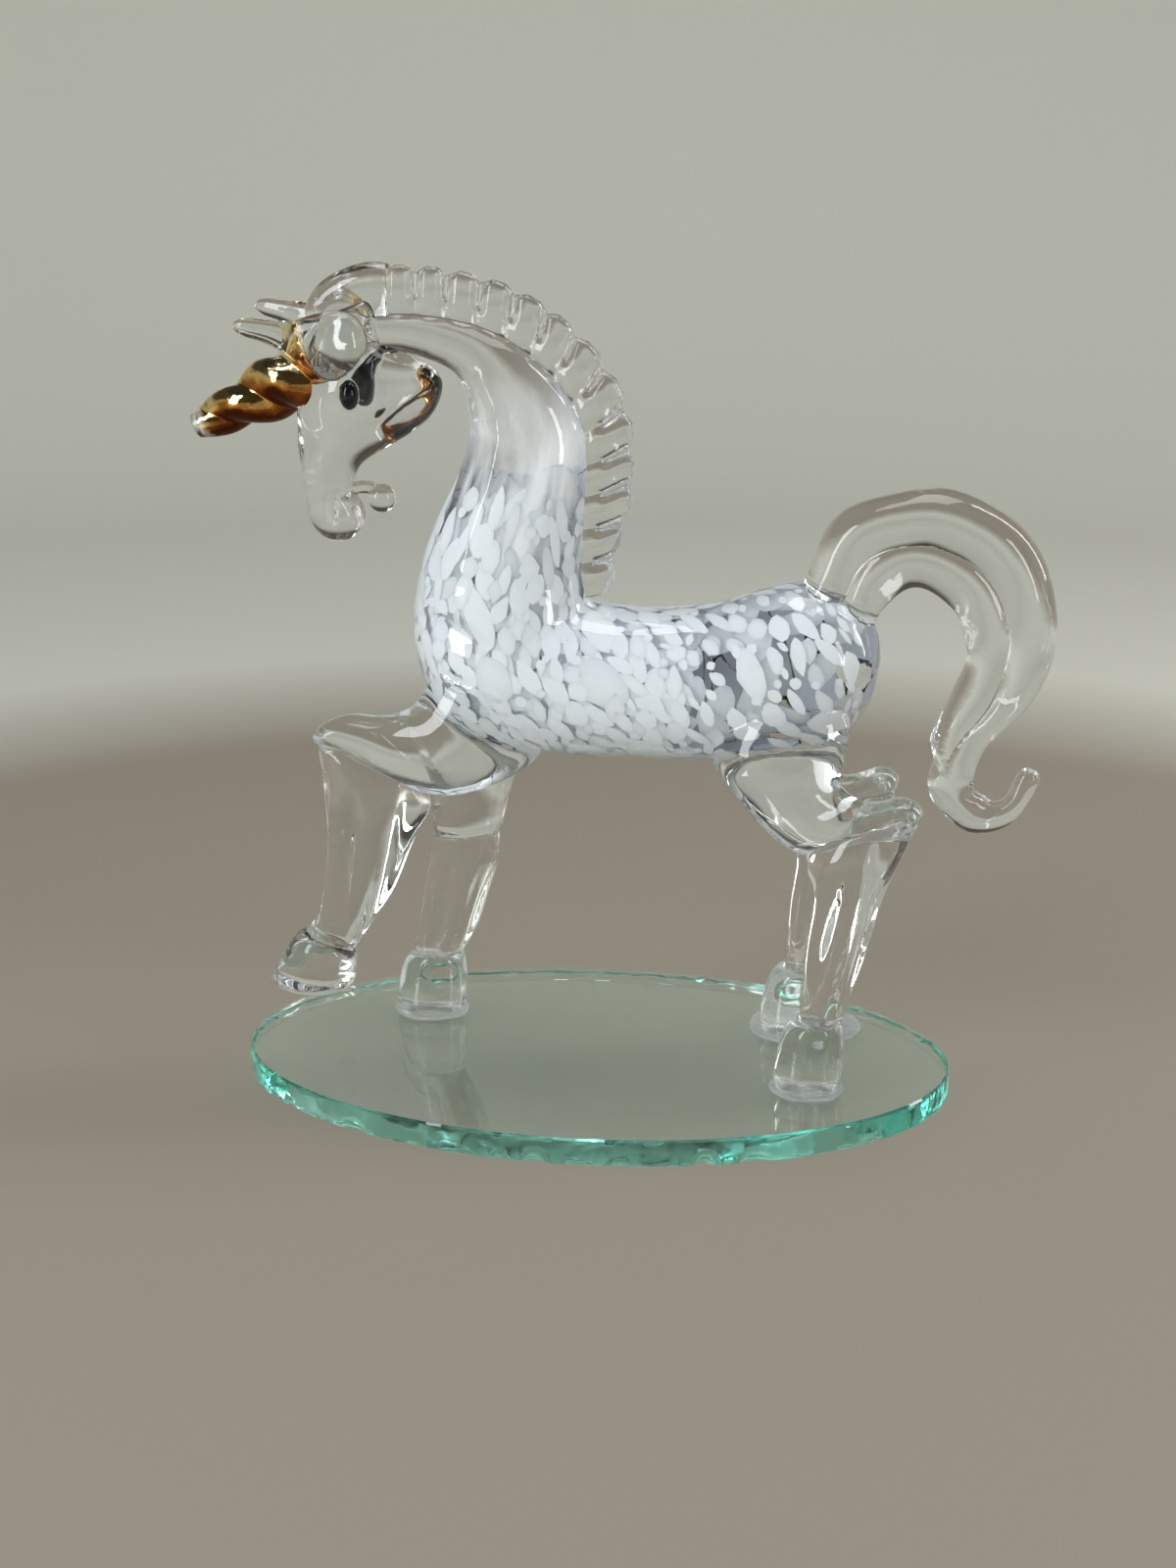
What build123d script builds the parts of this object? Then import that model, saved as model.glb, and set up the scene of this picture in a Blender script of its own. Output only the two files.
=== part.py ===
from build123d import *
from collections import namedtuple
import math
import os

# A lampworked glass unicorn on an oval glass plate.
# The animal faces -X, its left side is -Y, +Z is up.
# The origin is the middle of the plate's underside.

# Base plate, an oval of float glass with seamed edges
plate_length = 80.0
plate_width = 50.0
plate_thickness = 3.0
plate_edge_chamfer = 0.35

# Glue under the three standing hooves
glue_thickness = 0.3
glue_overhang = 0.9

# Body, from the chest to the rump
chest_lead = 20.0
belly_height = 34.8
barrel_length = 50.8
barrel_height = 16.8
barrel_width = 17.4

# Neck, from the withers to the poll
neck_reach = 24.0
neck_height = 31.0
neck_width = 16.4

# Head, hanging from the poll
head_length = 24.0
head_breadth = 15.6
head_width = 9.0
eye_breadth = 2.1
eye_height = 3.1
eye_thickness = 2.8
nostril_breadth = 1.4
nostril_length = 3.4
nostril_depth = 0.7
beard_bead_diameter = 2.9
beard_strand_diameter = 1.2
beard_reach = 3.4

# Horn, a tapered twist of two rods
horn_length = 12.8
horn_base_diameter = 9.4
horn_tip_diameter = 3.6
horn_root = 3.0
horn_droop_degrees = 26.0
horn_turns = 1.4
horn_start_degrees = 40.0
horn_sections_per_turn = 8
horn_rod_share = 0.76

# Ears, forelock and mane
ear_length = 11.2
ear_height = 7.4
ear_thickness = 4.4
ear_spread = 5.6
right_ear_lift = 1.4
forelock_length = 9.0
forelock_height = 5.6
forelock_width = 4.6
mane_width = 4.9
mane_root = 1.6
mane_thickness = 3.0
mane_lean = 2.4
mane_lobes = 13
mane_start_share = 0.005
mane_foot_share = 0.55
mane_spread_share = 2.2
mane_lean_rise_share = 4.4
mane_lobe_shares = ((0.84, 0.70), (0.98, 0.95), (0.98, 0.95))

# Tail
tail_length = 18.0
tail_height = 37.0
tail_width = 7.6

# Hind legs
hock_height = 29.7
thigh_length = 22.5
thigh_width = 10.6
hind_shank_breadth = 11.8
hind_shank_width = 8.6
hind_hoof_height = 7.5
hind_hoof_length = 7.3
hind_hoof_width = 6.8
hind_stance = 16.0
right_hind_lead = 2.8
right_hock_drop = 1.4

# Forelegs
knee_height = 22.4
forearm_breadth = 12.0
forearm_width = 9.6
fore_shank_width = 7.0
fore_hoof_height = 6.9
fore_hoof_length = 8.1
fore_hoof_width = 6.8
fore_stance = 17.6
raised_forearm_length = 26.0
raised_forearm_height = 13.2
raised_shank_length = 23.7
raised_shank_breadth = 12.0
raised_hoof_height = 6.6
raised_hoof_length = 9.2

# Places of the smaller pieces, as shares of the piece that carries them
leg_root_share = 0.27
hip_share = 0.83
shoulder_share = 0.16
shoulder_drop_share = 0.1
eye_place_shares = (-0.18, -0.26)
eye_side_share = 0.46
nostril_place_shares = (-0.345, -0.785)
nostril_side_share = 0.33
horn_place_shares = (-0.60, -0.20)
ear_place_shares = (-0.26, -0.06)
ear_point_spread_share = 0.75
forelock_lift_share = 0.06
beard_place_shares = (-0.24, -0.71)
beard_path_shares = ((-0.25, -0.12), (0.20, 0.10), (0.62, 0.08), (0.92, -0.22))
hind_hoof_place_share = 0.21
fore_hoof_place_share = -0.75
standing_knee_spread_shares = (0.88, 0.86)
raised_knee_spread_shares = (0.86, 0.84)
raised_foot_spread_shares = (0.94, 0.96)
raised_ankle_shares = (-0.59, -0.32)
raised_hoof_place_shares = (-0.28, -0.72)

# Levels and places that follow from the sizes above
plate_top = plate_thickness
foot_level = plate_top + glue_thickness
chest_x = -chest_lead
rump_x = chest_x + barrel_length
belly_z = plate_top + belly_height
back_z = belly_z + barrel_height
body_middle_z = belly_z + barrel_height / 2
leg_root_y = barrel_width * leg_root_share

# A span has a corner place in the XZ plane, a length along X and a height along Z
Span = namedtuple("Span", "x z length height")


def spot(span, x_share, z_share, y=0.0):
    """A place given as shares of a span's length and height."""
    return Vector(span.x + x_share * span.length, y, span.z + z_share * span.height)


def tangent_at(quarter, reach, side):
    """The way round an oval at the end of a quarter turn."""
    angle = math.pi / 2 * quarter
    return reach * math.sin(angle) + side * math.cos(angle)


def ring(front, back, half_width):
    """An oval face between two edge points, made of four quarter curves."""
    centre = (front + back) / 2
    reach = (back - front) / 2
    side = Vector(0, half_width, 0)
    quarters = []
    for quarter in range(4):
        angles = [math.pi / 2 * (quarter + step / 2) for step in range(3)]
        points = [centre - reach * math.cos(angle) + side * math.sin(angle) for angle in angles]
        tangents = (tangent_at(quarter, reach, side), tangent_at(quarter + 1, reach, side))
        quarters.append(Edge.make_spline(points, tangents=tangents))
    return Face(Wire(quarters))


def drawn_glass(span, rows_shares, width, y_start=0.0, y_end=0.0, start_tip=None, end_tip=None):
    """A drawn glass form through oval rings. A row holds both edge places and a width as shares."""
    last = len(rows_shares) - 1
    sections = []
    for index, row in enumerate(rows_shares):
        y = y_start + (y_end - y_start) * index / last
        front = spot(span, row[0], row[1], y)
        back = spot(span, row[2], row[3], y)
        sections.append(ring(front, back, row[4] * width / 2))
    if start_tip:
        sections.insert(0, Vertex(*spot(span, *start_tip, y_start)))
    if end_tip:
        sections.append(Vertex(*spot(span, *end_tip, y_end)))
    return loft(sections)


def trimmed(piece, *carriers):
    """The piece with its buried root cut away by what it is fused to."""
    for carrier in carriers:
        piece = piece - carrier
    return max(piece.solids(), key=lambda solid: solid.volume)


# Rows: front x, front z, back x, back z, width, all as shares of the piece's own span
body_shares = (
    (0.014, 0.58, 0.014, 1.05, 0.40),
    (0.060, 0.28, 0.060, 1.14, 0.70),
    (0.140, 0.10, 0.140, 1.16, 0.92),
    (0.280, 0.01, 0.280, 1.10, 1.00),
    (0.430, 0.00, 0.430, 1.00, 0.97),
    (0.590, 0.00, 0.590, 1.00, 0.96),
    (0.710, 0.02, 0.710, 1.08, 1.00),
    (0.810, 0.07, 0.810, 1.17, 1.00),
    (0.900, 0.16, 0.900, 1.14, 0.90),
    (0.960, 0.31, 0.960, 1.02, 0.66),
    (0.990, 0.52, 0.990, 0.88, 0.36),
)
body_tip_shares = ((0, 0.82), (1, 0.70))
neck_shares = (
    (0.13, -0.24, 0.72, -0.18, 0.95),
    (0.01, -0.03, 0.80, 0.02, 1.00),
    (0.04, 0.12, 0.78, 0.19, 0.93),
    (0.12, 0.30, 0.79, 0.33, 0.83),
    (0.20, 0.42, 0.80, 0.46, 0.74),
    (0.27, 0.59, 0.79, 0.60, 0.64),
    (0.26, 0.69, 0.73, 0.71, 0.58),
    (0.23, 0.77, 0.61, 0.82, 0.50),
    (0.14, 0.82, 0.45, 0.91, 0.42),
    (0.01, 0.85, 0.23, 0.97, 0.35),
    (-0.12, 0.86, -0.11, 0.99, 0.31),
    (-0.22, 0.86, -0.22, 0.97, 0.27),
)
head_shares = (
    (-0.40, 0.06, -0.06, 0.07, 0.50),
    (-0.49, -0.04, -0.01, -0.03, 0.72),
    (-0.55, -0.11, 0.22, -0.12, 0.88),
    (-0.58, -0.18, 0.37, -0.19, 0.97),
    (-0.60, -0.28, 0.39, -0.26, 1.00),
    (-0.61, -0.36, 0.33, -0.35, 0.96),
    (-0.61, -0.45, 0.20, -0.43, 0.88),
    (-0.61, -0.52, 0.00, -0.51, 0.80),
    (-0.60, -0.58, -0.17, -0.58, 0.72),
    (-0.59, -0.65, -0.23, -0.64, 0.66),
    (-0.57, -0.72, -0.24, -0.71, 0.64),
    (-0.56, -0.80, -0.18, -0.79, 0.66),
    (-0.52, -0.87, -0.18, -0.86, 0.60),
    (-0.44, -0.92, -0.26, -0.92, 0.34),
)
head_tip_shares = ((-0.23, 0.10), (-0.35, -0.94))
tail_shares = (
    (-0.42, -0.10, -0.16, -0.20, 0.80),
    (-0.51, 0.07, -0.05, -0.06, 0.98),
    (-0.36, 0.22, 0.03, 0.03, 1.00),
    (-0.17, 0.31, 0.12, 0.07, 0.98),
    (0.04, 0.34, 0.21, 0.08, 0.96),
    (0.26, 0.36, 0.31, 0.06, 0.95),
    (0.54, 0.33, 0.41, 0.02, 0.94),
    (0.77, 0.26, 0.47, -0.03, 0.92),
    (0.93, 0.15, 0.50, -0.09, 0.90),
    (1.00, 0.03, 0.50, -0.14, 0.88),
    (1.01, -0.08, 0.46, -0.19, 0.86),
    (0.93, -0.21, 0.41, -0.25, 0.83),
    (0.80, -0.30, 0.34, -0.33, 0.78),
    (0.66, -0.37, 0.29, -0.41, 0.72),
    (0.59, -0.44, 0.28, -0.48, 0.66),
    (0.57, -0.50, 0.32, -0.53, 0.60),
    (0.60, -0.53, 0.41, -0.59, 0.54),
    (0.67, -0.55, 0.54, -0.64, 0.48),
    (0.74, -0.55, 0.69, -0.64, 0.43),
    (0.79, -0.52, 0.83, -0.60, 0.39),
    (0.83, -0.47, 0.92, -0.53, 0.35),
    (0.87, -0.45, 0.96, -0.49, 0.28),
)
tail_tip_shares = (0.93, -0.455)
# The outer rod's breadth in each row, then the inner rod's start and end
tail_outer_shares = (0.60,) * 12 + (0.66, 0.78, 0.90) + (1,) * 7
tail_inner_shares = ((0.42, 1),) * 13 + ((0.45, 0.92), (0.50, 0.80))
tail_inner_width_share = 0.93
ear_shares = (
    (0.22, 0.28, 0.22, -0.28, 0.55),
    (0.12, 0.45, 0.12, -0.45, 0.88),
    (-0.02, 0.50, -0.02, -0.50, 1.00),
    (-0.15, 0.48, -0.15, -0.45, 0.92),
    (-0.30, 0.42, -0.30, -0.30, 0.74),
    (-0.45, 0.36, -0.45, -0.14, 0.58),
    (-0.62, 0.37, -0.62, 0.02, 0.48),
    (-0.80, 0.39, -0.80, 0.12, 0.38),
    (-0.93, 0.38, -0.93, 0.19, 0.26),
)
ear_tip_shares = ((0.26, 0), (-1, 0.29))
forelock_shares = (
    (0.08, 0.98, 0.06, -0.06, 0.92),
    (-0.14, 1.02, -0.12, -0.12, 0.98),
    (-0.38, 0.93, -0.36, -0.16, 1.00),
    (-0.62, 0.76, -0.60, -0.18, 0.94),
    (-0.80, 0.52, -0.78, -0.16, 0.78),
    (-0.90, 0.28, -0.89, -0.06, 0.48),
)
forelock_tip_shares = (-0.93, 0.12)
thigh_shares = (
    (-0.24, 1.10, 0.20, 1.12, 0.46),
    (-0.34, 0.84, 0.25, 0.88, 0.78),
    (-0.39, 0.55, 0.25, 0.62, 0.98),
    (-0.31, 0.28, 0.22, 0.38, 0.95),
    (-0.18, 0.02, 0.23, 0.29, 0.86),
    (-0.04, -0.19, 0.28, 0.22, 0.76),
    (0.13, -0.26, 0.35, 0.19, 0.66),
    (0.29, -0.17, 0.44, 0.22, 0.57),
    (0.45, -0.08, 0.53, 0.26, 0.48),
    (0.56, 0.02, 0.60, 0.20, 0.34),
)
thigh_tip_shares = (0.61, 0.12)
hind_shank_shares = (
    (0.21, 0.93, 1.08, 1.10, 0.80),
    (0.14, 0.82, 1.13, 1.05, 0.95),
    (0.20, 0.72, 0.96, 0.84, 1.00),
    (0.19, 0.52, 0.75, 0.54, 0.86),
    (0.15, 0.22, 0.60, 0.23, 0.70),
    (0.11, -0.01, 0.50, 0.00, 0.62),
    (0.10, -0.07, 0.49, -0.07, 0.60),
)
standing_forearm_shares = (
    (-0.40, 1.06, 0.46, 1.06, 0.55),
    (-0.52, 0.88, 0.50, 0.88, 0.86),
    (-0.58, 0.68, 0.44, 0.70, 0.96),
    (-0.63, 0.45, 0.27, 0.50, 0.86),
    (-0.67, 0.18, 0.10, 0.30, 0.77),
    (-0.67, -0.02, -0.02, 0.02, 0.69),
)
standing_shank_shares = (
    (-0.67, 1.12, 0.00, 1.16, 0.90),
    (-0.68, 0.92, -0.05, 0.96, 0.96),
    (-0.74, 0.69, -0.10, 0.72, 0.92),
    (-0.82, 0.34, -0.26, 0.35, 0.82),
    (-0.88, 0.14, -0.36, 0.15, 0.76),
    (-0.92, 0.01, -0.44, 0.02, 0.72),
    (-0.92, -0.08, -0.45, -0.08, 0.70),
)
raised_forearm_shares = (
    (-0.06, 0.42, 0.24, 0.22, 0.50),
    (-0.17, 0.25, 0.29, -0.16, 0.86),
    (-0.22, 0.12, 0.26, -0.40, 0.98),
    (-0.26, 0.00, 0.19, -0.54, 0.98),
    (-0.31, -0.08, 0.02, -0.71, 0.92),
    (-0.40, -0.13, -0.17, -0.77, 0.84),
    (-0.48, -0.12, -0.40, -0.62, 0.72),
    (-0.58, -0.13, -0.56, -0.45, 0.58),
    (-0.67, -0.22, -0.67, -0.36, 0.36),
)
raised_forearm_tip_shares = (-0.69, -0.28)
raised_shank_shares = (
    (-0.12, 1.02, 0.76, 0.80, 0.80),
    (-0.16, 0.97, 0.83, 0.71, 0.92),
    (-0.13, 0.83, 0.75, 0.62, 1.00),
    (-0.10, 0.69, 0.62, 0.49, 0.98),
    (-0.09, 0.50, 0.48, 0.31, 0.88),
    (-0.15, 0.31, 0.33, 0.18, 0.78),
    (-0.25, 0.14, 0.16, 0.04, 0.70),
    (-0.37, 0.06, 0.09, -0.03, 0.68),
    (-0.40, 0.02, 0.06, -0.07, 0.66),
)
standing_hoof_shares = (
    (-0.46, 0.00, 0.46, 0.00, 0.92),
    (-0.50, 0.12, 0.50, 0.12, 1.00),
    (-0.47, 0.45, 0.51, 0.50, 1.00),
    (-0.38, 0.84, 0.49, 0.90, 0.95),
    (-0.30, 0.97, 0.44, 1.01, 0.85),
    (-0.22, 1.03, 0.36, 1.06, 0.68),
)
raised_hoof_shares = (
    (-0.42, 0.03, 0.44, 0.03, 0.92),
    (-0.49, 0.12, 0.49, 0.10, 1.00),
    (-0.36, 0.52, 0.52, 0.36, 1.00),
    (-0.19, 0.92, 0.52, 0.64, 0.94),
    (-0.11, 1.00, 0.48, 0.74, 0.82),
    (-0.05, 1.02, 0.42, 0.81, 0.66),
)
raised_hoof_tip_shares = (0, -0.02)


def make_plate():
    """The oval base plate with both edges seamed."""
    plate = extrude(Ellipse(plate_length / 2, plate_width / 2), amount=plate_thickness)
    return chamfer(plate.edges(), length=plate_edge_chamfer)


def make_body():
    """The barrel, chest and rump."""
    span = Span(chest_x, belly_z, barrel_length, barrel_height)
    front_tip, back_tip = body_tip_shares
    return drawn_glass(span, body_shares, barrel_width, start_tip=front_tip, end_tip=back_tip)


neck_span = Span(chest_x, back_z, neck_reach, neck_height)
poll = (spot(neck_span, *neck_shares[-2][0:2]) + spot(neck_span, *neck_shares[-2][2:4])) / 2
head_span = Span(poll.X, poll.Z, head_breadth, head_length)


def make_neck():
    """The arched neck, buried in the body and in the head at its ends."""
    return drawn_glass(neck_span, neck_shares, neck_width)


def make_head():
    """The flattened head with its jowl, muzzle and lower lip."""
    top_tip, lip_tip = head_tip_shares
    return drawn_glass(head_span, head_shares, head_width, start_tip=top_tip, end_tip=lip_tip)


def oval_drop(length, thickness, height):
    """A solid oval with the given full sizes along X, Y and Z."""
    return scale(Sphere(thickness / 2), by=(length / thickness, 1, height / thickness))


def make_eye(side):
    """One black glass dot set into the side of the head."""
    centre = spot(head_span, *eye_place_shares, side * head_width * eye_side_share)
    return Pos(*centre) * oval_drop(eye_breadth, eye_thickness, eye_height)


def make_nostril(side):
    """The dimple pressed into one side of the muzzle."""
    centre = spot(head_span, *nostril_place_shares, side * head_width * nostril_side_share)
    return Pos(*centre) * oval_drop(nostril_breadth, 2 * nostril_depth, nostril_length)


def make_horn():
    """Two rods twisted together, tapering to the tip."""
    base = spot(head_span, *horn_place_shares)
    slope = math.radians(horn_droop_degrees)
    ahead = Vector(-math.cos(slope), 0, -math.sin(slope))
    start = base - ahead * horn_root
    steps = math.ceil(horn_turns * horn_sections_per_turn)
    strands = []
    for strand in range(2):
        sections = []
        for step in range(steps + 1):
            share = step / steps
            diameter = horn_base_diameter + (horn_tip_diameter - horn_base_diameter) * share
            rod = diameter * horn_rod_share
            place = start + ahead * (horn_length + horn_root) * share
            plane = Plane(origin=place, x_dir=(0, 1, 0), z_dir=ahead)
            turn = horn_start_degrees + 360 * horn_turns * share + 180 * strand
            sections.append(plane * Rot(0, 0, turn) * Pos((diameter - rod) / 2, 0, 0) * Circle(rod / 2))
        strands.append(loft(sections))
    return strands[0] + strands[1]


def make_ear(side, lift):
    """A drop of glass on the side of the poll, drawn forward to a point."""
    place = spot(head_span, *ear_place_shares)
    span = Span(place.X, place.Z + lift, ear_length, ear_height)
    root_y = side * ear_spread / 2
    point_y = side * ear_spread * ear_point_spread_share
    round_tip, point_tip = ear_tip_shares
    return drawn_glass(span, ear_shares, ear_thickness, root_y, point_y, round_tip, point_tip)


def make_forelock():
    """The smooth first lobe of the mane, over the poll."""
    lift = head_length * forelock_lift_share
    span = Span(poll.X, poll.Z + lift, forelock_length, forelock_height)
    return drawn_glass(span, forelock_shares, forelock_width, end_tip=forelock_tip_shares)


def make_mane():
    """A strip along the crest, pinched into slanted lobes with rounded edges."""
    crest = Spline(*[spot(neck_span, *row[2:4]) for row in neck_shares[1:-1]])
    steps = len(mane_lobe_shares) * mane_lobes
    sections = []
    for step in range(steps + 1):
        share = mane_start_share + (1 - 2 * mane_start_share) * step / steps
        foot = crest @ share
        ahead = (crest % share).normalized()
        outward = Vector(0, 1, 0).cross(ahead)
        reach_share, thickness_share = mane_lobe_shares[step % len(mane_lobe_shares)]
        reach = mane_width * reach_share * min(1, mane_foot_share + mane_spread_share * share)
        lean = mane_lean * min(1, mane_lean_rise_share * share, mane_spread_share * (1 - share))
        inner = foot - outward * mane_root
        outer = foot + outward * reach + ahead * lean
        sections.append(ring(inner, outer, mane_thickness * thickness_share / 2))
    return loft(sections, ruled=True)


def make_beard():
    """A curled strand under the chin that ends in a bead."""
    place = spot(head_span, *beard_place_shares)
    span = Span(place.X, place.Z, beard_reach, beard_reach)
    places = [spot(span, *shares) for shares in beard_path_shares]
    path = Spline(*places)
    profile = Plane(origin=path @ 0, z_dir=path % 0) * Circle(beard_strand_diameter / 2)
    strand = sweep(profile, path=path)
    return strand + Pos(*places[-1]) * Sphere(beard_bead_diameter / 2)


def part_row(row, start_share, end_share):
    """The part of a row between two shares of its breadth."""
    front_x, front_z, back_x, back_z, width = row
    run_x = back_x - front_x
    run_z = back_z - front_z
    start = (front_x + start_share * run_x, front_z + start_share * run_z)
    end = (front_x + end_share * run_x, front_z + end_share * run_z)
    return (*start, *end, width)


def make_tail():
    """The arched tail of two fused rods, the outer one curled up at its tip."""
    span = Span(rump_x, back_z, tail_length, tail_height)
    outer_rows = [part_row(row, 0, share) for row, share in zip(tail_shares, tail_outer_shares)]
    inner_rows = [part_row(row, *shares) for row, shares in zip(tail_shares, tail_inner_shares)]
    outer = drawn_glass(span, outer_rows, tail_width, end_tip=tail_tip_shares)
    inner = drawn_glass(span, inner_rows, tail_width * tail_inner_width_share)
    return outer + inner


def make_hind_leg(side, lead, hock_drop):
    """The thigh, shank and hoof of one hind leg."""
    hip_x = chest_x + barrel_length * hip_share - lead
    hock_z = foot_level + hock_height - hock_drop
    hoof_top = foot_level + hind_hoof_height
    stance_y = side * hind_stance / 2
    thigh_span = Span(hip_x, hock_z, thigh_length, body_middle_z - hock_z)
    thigh = drawn_glass(
        thigh_span, thigh_shares, thigh_width, side * leg_root_y, stance_y, end_tip=thigh_tip_shares
    )
    shank_span = Span(hip_x, hoof_top, hind_shank_breadth, hock_z - hoof_top)
    shank = drawn_glass(shank_span, hind_shank_shares, hind_shank_width, stance_y, stance_y)
    hoof_x = hip_x + hind_shank_breadth * hind_hoof_place_share
    hoof_span = Span(hoof_x, foot_level, hind_hoof_length, hind_hoof_height)
    hoof = drawn_glass(hoof_span, standing_hoof_shares, hind_hoof_width, stance_y, stance_y)
    return thigh, shank, hoof


def make_standing_foreleg():
    """The forearm, shank and hoof of the right foreleg."""
    shoulder_x = chest_x + barrel_length * shoulder_share
    knee_z = foot_level + knee_height
    hoof_top = foot_level + fore_hoof_height
    stance_y = fore_stance / 2
    forearm_end_y, shank_start_y = [stance_y * share for share in standing_knee_spread_shares]
    forearm_span = Span(shoulder_x, knee_z, forearm_breadth, body_middle_z - knee_z)
    forearm = drawn_glass(forearm_span, standing_forearm_shares, forearm_width, leg_root_y, forearm_end_y)
    shank_span = Span(shoulder_x, hoof_top, forearm_breadth, knee_z - hoof_top)
    shank = drawn_glass(shank_span, standing_shank_shares, fore_shank_width, shank_start_y, stance_y)
    hoof_x = shoulder_x + forearm_breadth * fore_hoof_place_share
    hoof_span = Span(hoof_x, foot_level, fore_hoof_length, fore_hoof_height)
    hoof = drawn_glass(hoof_span, standing_hoof_shares, fore_hoof_width, stance_y, stance_y)
    return forearm, shank, hoof


def make_raised_foreleg():
    """The forearm, shank and hoof of the lifted left foreleg."""
    shoulder_x = chest_x + barrel_length * shoulder_share
    shoulder_z = body_middle_z - barrel_height * shoulder_drop_share
    stance_y = -fore_stance / 2
    forearm_end_y, shank_start_y = [stance_y * share for share in raised_knee_spread_shares]
    shank_end_y, hoof_end_y = [stance_y * share for share in raised_foot_spread_shares]
    forearm_span = Span(shoulder_x, shoulder_z, raised_forearm_length, raised_forearm_height)
    forearm = drawn_glass(
        forearm_span, raised_forearm_shares, forearm_width, -leg_root_y, forearm_end_y,
        end_tip=raised_forearm_tip_shares,
    )
    ankle = spot(forearm_span, *raised_ankle_shares)
    shank_span = Span(ankle.X, ankle.Z - raised_shank_length, raised_shank_breadth, raised_shank_length)
    shank = drawn_glass(shank_span, raised_shank_shares, fore_shank_width, shank_start_y, shank_end_y)
    hoof_x_share, hoof_z_share = raised_hoof_place_shares
    hoof_x = shank_span.x + raised_shank_breadth * hoof_x_share
    hoof_z = shank_span.z + raised_hoof_height * hoof_z_share
    hoof_span = Span(hoof_x, hoof_z, raised_hoof_length, raised_hoof_height)
    hoof = drawn_glass(
        hoof_span, raised_hoof_shares, fore_hoof_width, shank_end_y, hoof_end_y,
        start_tip=raised_hoof_tip_shares,
    )
    return forearm, shank, hoof


def make_glue(hooves):
    """A thin dab of clear glue under each standing hoof."""
    dabs = []
    for hoof in hooves:
        bounds = hoof.bounding_box()
        middle = bounds.center()
        dab = Ellipse(bounds.size.X / 2 + glue_overhang, bounds.size.Y / 2 + glue_overhang)
        dabs.append(Pos(middle.X, middle.Y, plate_top) * extrude(dab, amount=glue_thickness))
    return Compound(children=dabs)


def make_unicorn():
    """All pieces by node name, each trimmed to what it is fused to."""
    pieces = {"base_plate": make_plate()}
    body = make_body()
    head = make_head()
    eyes = {"left_eye": make_eye(-1), "right_eye": make_eye(1)}
    for eye in eyes.values():
        head = head - eye
    for side in (-1, 1):
        head = head - make_nostril(side)
    neck = trimmed(make_neck(), body, head)
    forelock = trimmed(make_forelock(), head, neck)
    pieces.update(eyes)
    pieces["body"] = body
    pieces["neck"] = neck
    pieces["head"] = head
    pieces["forelock"] = forelock
    pieces["mane"] = trimmed(make_mane(), neck, body, head, forelock)
    horn = trimmed(make_horn(), head)
    pieces["horn"] = horn
    pieces["beard"] = trimmed(make_beard(), head)
    pieces["left_ear"] = trimmed(make_ear(-1, 0.0), head, forelock, neck, horn)
    pieces["right_ear"] = trimmed(make_ear(1, right_ear_lift), head, forelock, neck, horn)
    pieces["tail"] = trimmed(make_tail(), body)
    legs = {
        "left_hind": make_hind_leg(-1, 0.0, 0.0),
        "right_hind": make_hind_leg(1, right_hind_lead, right_hock_drop),
        "right_fore": make_standing_foreleg(),
        "left_fore": make_raised_foreleg(),
    }
    for name, (upper, shank, hoof) in legs.items():
        upper = trimmed(upper, body, neck)
        pieces[name + "_upper_leg"] = upper
        pieces[name + "_hoof"] = hoof
        pieces[name + "_shank"] = trimmed(shank, upper, hoof, body)
    standing = [pieces[name + "_hoof"] for name in ("left_hind", "right_hind", "right_fore")]
    pieces["glue_dabs"] = make_glue(standing)
    return pieces


os.makedirs("parts", exist_ok=True)
for node, shape in make_unicorn().items():
    export_step(shape, os.path.join("parts", node + ".step"))
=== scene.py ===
import math
import random

import bmesh
import bpy
from mathutils import Matrix, Vector, noise
from mathutils.bvhtree import BVHTree


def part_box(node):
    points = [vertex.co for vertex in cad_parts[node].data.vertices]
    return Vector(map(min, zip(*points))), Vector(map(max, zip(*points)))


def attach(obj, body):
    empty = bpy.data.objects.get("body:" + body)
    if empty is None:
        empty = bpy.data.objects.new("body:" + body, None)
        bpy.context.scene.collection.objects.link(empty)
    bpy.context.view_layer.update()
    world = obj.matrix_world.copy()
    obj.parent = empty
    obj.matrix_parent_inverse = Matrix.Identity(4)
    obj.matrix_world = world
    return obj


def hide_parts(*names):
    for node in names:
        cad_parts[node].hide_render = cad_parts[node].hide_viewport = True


# A clear glass unicorn with white flakes in its body, on an oval of green-edged plate glass.
# Lengths and places are in millimetres along the frame's axes, and MM turns them into metres.

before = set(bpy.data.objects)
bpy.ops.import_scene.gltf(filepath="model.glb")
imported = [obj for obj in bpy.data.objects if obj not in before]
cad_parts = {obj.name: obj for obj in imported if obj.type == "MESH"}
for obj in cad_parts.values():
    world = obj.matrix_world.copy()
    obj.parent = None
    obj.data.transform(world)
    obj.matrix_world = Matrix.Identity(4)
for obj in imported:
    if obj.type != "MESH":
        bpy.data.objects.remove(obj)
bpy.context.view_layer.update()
chance = random.Random(7)

MM = 0.001
LEGS = ("left_hind", "right_hind", "right_fore", "left_fore")
STANDING_LEGS = LEGS[:3]
BOTH_SIDES = (-1, 1)
LEFT_SIDE = (-1,)

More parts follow.
